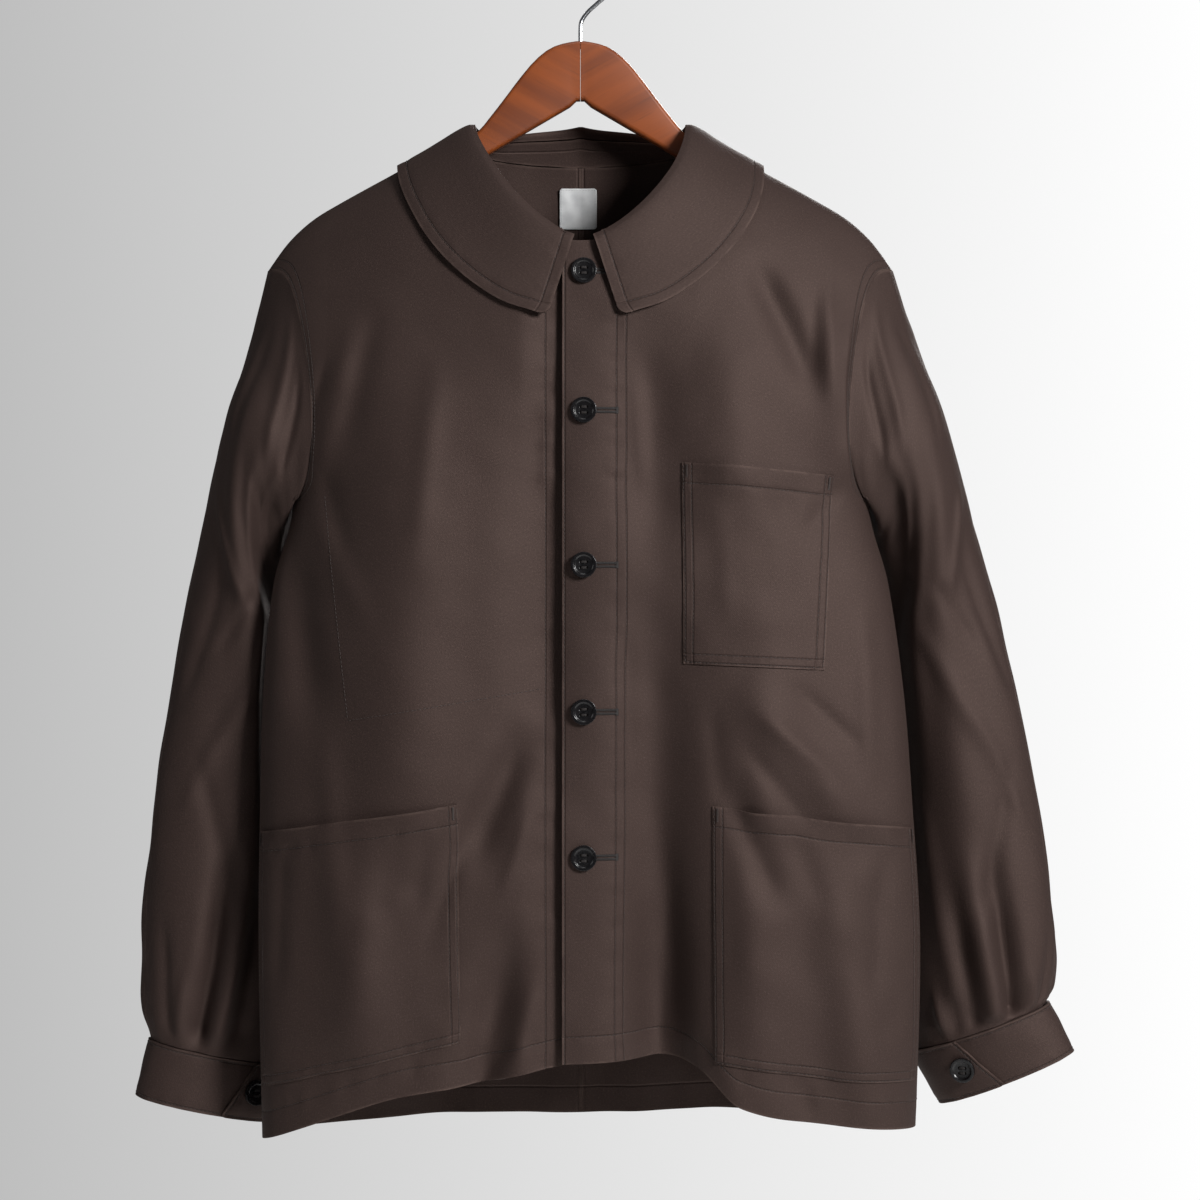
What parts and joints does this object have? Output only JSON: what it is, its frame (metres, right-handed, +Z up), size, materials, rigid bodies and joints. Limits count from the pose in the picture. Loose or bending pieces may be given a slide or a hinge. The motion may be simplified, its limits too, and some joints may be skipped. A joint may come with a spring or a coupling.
{
  "type": "chore jacket on a clothes hanger",
  "caption": "Buttoned chore jacket of brown moleskin with a turned-down collar and patch pockets, hanging on a wooden hanger with a wire hook; neck, hem and cuffs are open.",
  "frame": {"origin": "inside top of the hook's bow, where the hanger rests on its rail", "axes": "+Z up; the front of the jacket faces -Y; +X is the wearer's left"},
  "size_m": [0.7211, 0.1634, 0.8983],
  "materials": {
    "cloth": "soft napped moleskin",
    "cloth_inside": "matt, wrong side of the cloth",
    "button": "polished",
    "label": "woven",
    "hanger_wood": "clear lacquer",
    "hook_wire": "bright drawn wire"
  },
  "bodies": {
    "root": {"front_left": "cloth", "front_right": "cloth", "back_left": "cloth", "back_right": "cloth", "hip_pocket_left": "cloth", "hip_pocket_right": "cloth", "chest_pocket": "cloth", "sleeve_left": "cloth", "sleeve_right": "cloth", "collar": "cloth", "cuff_left": "cloth", "cuff_right": "cloth", "collar_stand": "cloth_inside", "front_button_1": "button", "front_button_2": "button", "front_button_3": "button", "front_button_4": "button", "front_button_5": "button", "cuff_button_left": "button", "cuff_button_right": "button", "neck_label": "label", "hanger_half_left": "hanger_wood", "hanger_half_right": "hanger_wood", "hanger_hook": "hook_wire"}
  },
  "joints": []
}
